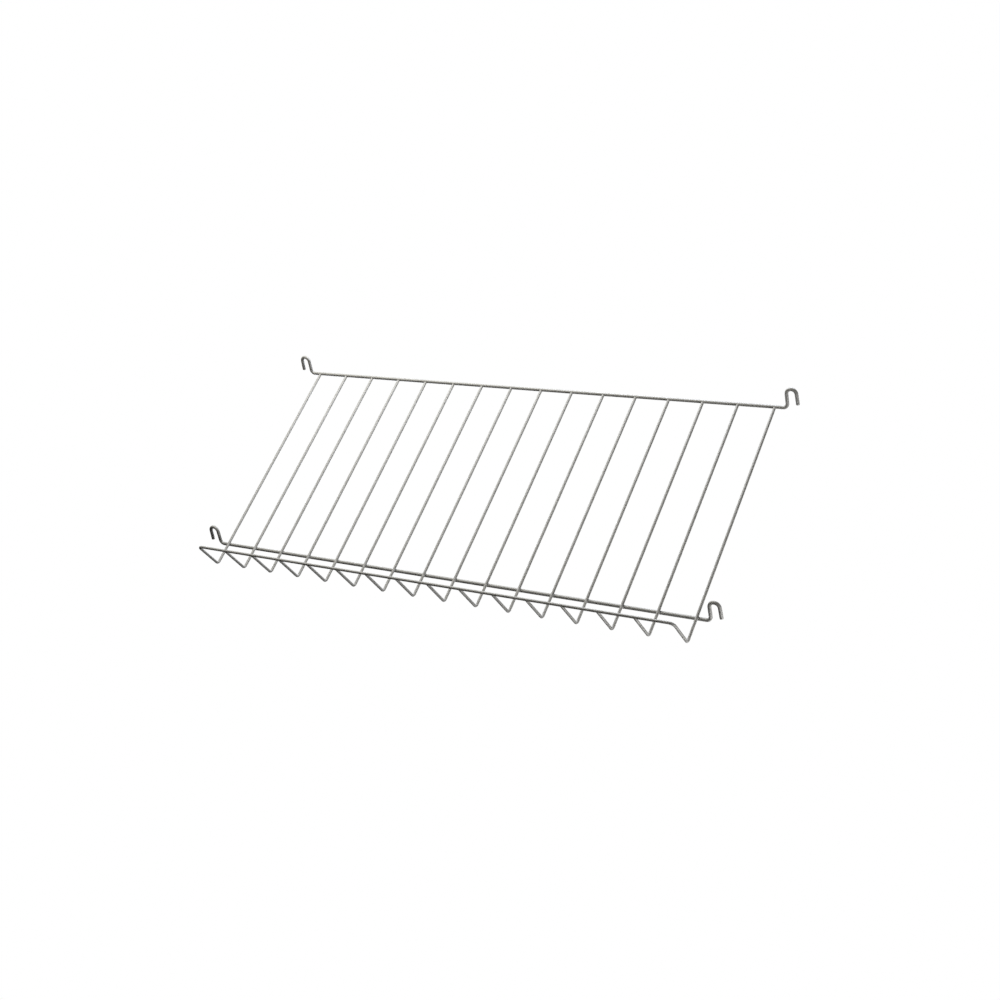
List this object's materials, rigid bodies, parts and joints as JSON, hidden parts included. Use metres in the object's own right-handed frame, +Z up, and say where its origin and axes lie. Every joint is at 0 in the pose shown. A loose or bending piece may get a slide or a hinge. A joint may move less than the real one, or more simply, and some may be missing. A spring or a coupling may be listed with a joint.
{
  "type": "wire shelf",
  "caption": "Sloping shelf of welded round wire: parallel slats on cross rails that end in upright hooks for ladder rungs, with the slats turned up at the front into a low lip.",
  "frame": {"origin": "centre of the shelf's bounding box", "axes": "+X to the right along the rails, +Y to the wall, +Z up as the shelf hangs"},
  "size_m": [0.5942, 0.246, 0.14],
  "materials": {
    "powder_coat": "satin warm grey powder coat on steel wire"
  },
  "bodies": {
    "root": {"rear_rail": "powder_coat", "front_rail": "powder_coat", "frame_wire": "powder_coat", "slat_01": "powder_coat", "slat_02": "powder_coat", "slat_03": "powder_coat", "slat_04": "powder_coat", "slat_05": "powder_coat", "slat_06": "powder_coat", "slat_07": "powder_coat", "slat_08": "powder_coat", "slat_09": "powder_coat", "slat_10": "powder_coat", "slat_11": "powder_coat", "slat_12": "powder_coat", "slat_13": "powder_coat", "slat_14": "powder_coat"}
  },
  "joints": []
}
